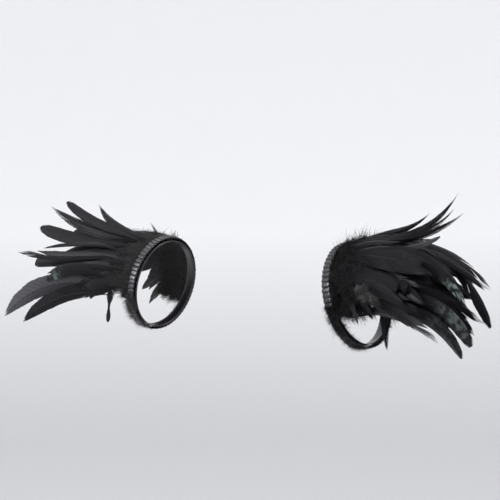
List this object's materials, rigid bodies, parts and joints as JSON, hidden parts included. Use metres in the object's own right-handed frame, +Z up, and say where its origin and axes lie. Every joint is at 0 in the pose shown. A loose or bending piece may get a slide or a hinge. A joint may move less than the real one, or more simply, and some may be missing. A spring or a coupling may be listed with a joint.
{
  "type": "feather shoulder cape",
  "caption": "Feather shoulder cape in two halves: gathered satin bands round the armholes carry arches of fluffy down and rows of long, drooping black plumes",
  "frame": {"origin": "midway between the wearer's two shoulder tops, at the height of the tops of the two bands", "axes": "+X towards the wearer's left, +Y towards the wearer's back, +Z up"},
  "size_m": [0.7525, 0.224, 0.2021],
  "materials": {
    "satin": "black gathered satin ribbon with a soft sheen",
    "down": "matte black fluffy down",
    "plume": "black dyed plumes with a faint green and violet gloss"
  },
  "bodies": {
    "root": {"left_binding_back": "satin", "left_binding_face": "satin", "left_down": "down", "left_long_plumes_under": "plume", "left_long_plumes_middle": "plume", "left_long_plumes_over": "plume", "left_broad_plumes": "plume", "left_crest_plumes": "plume", "left_fluff_locks": "down", "left_underarm_locks": "down", "right_binding_back": "satin", "right_binding_face": "satin", "right_down": "down", "right_long_plumes_under": "plume", "right_long_plumes_middle": "plume", "right_long_plumes_over": "plume", "right_broad_plumes": "plume", "right_crest_plumes": "plume", "right_fluff_locks": "down", "right_underarm_locks": "down"}
  },
  "joints": []
}
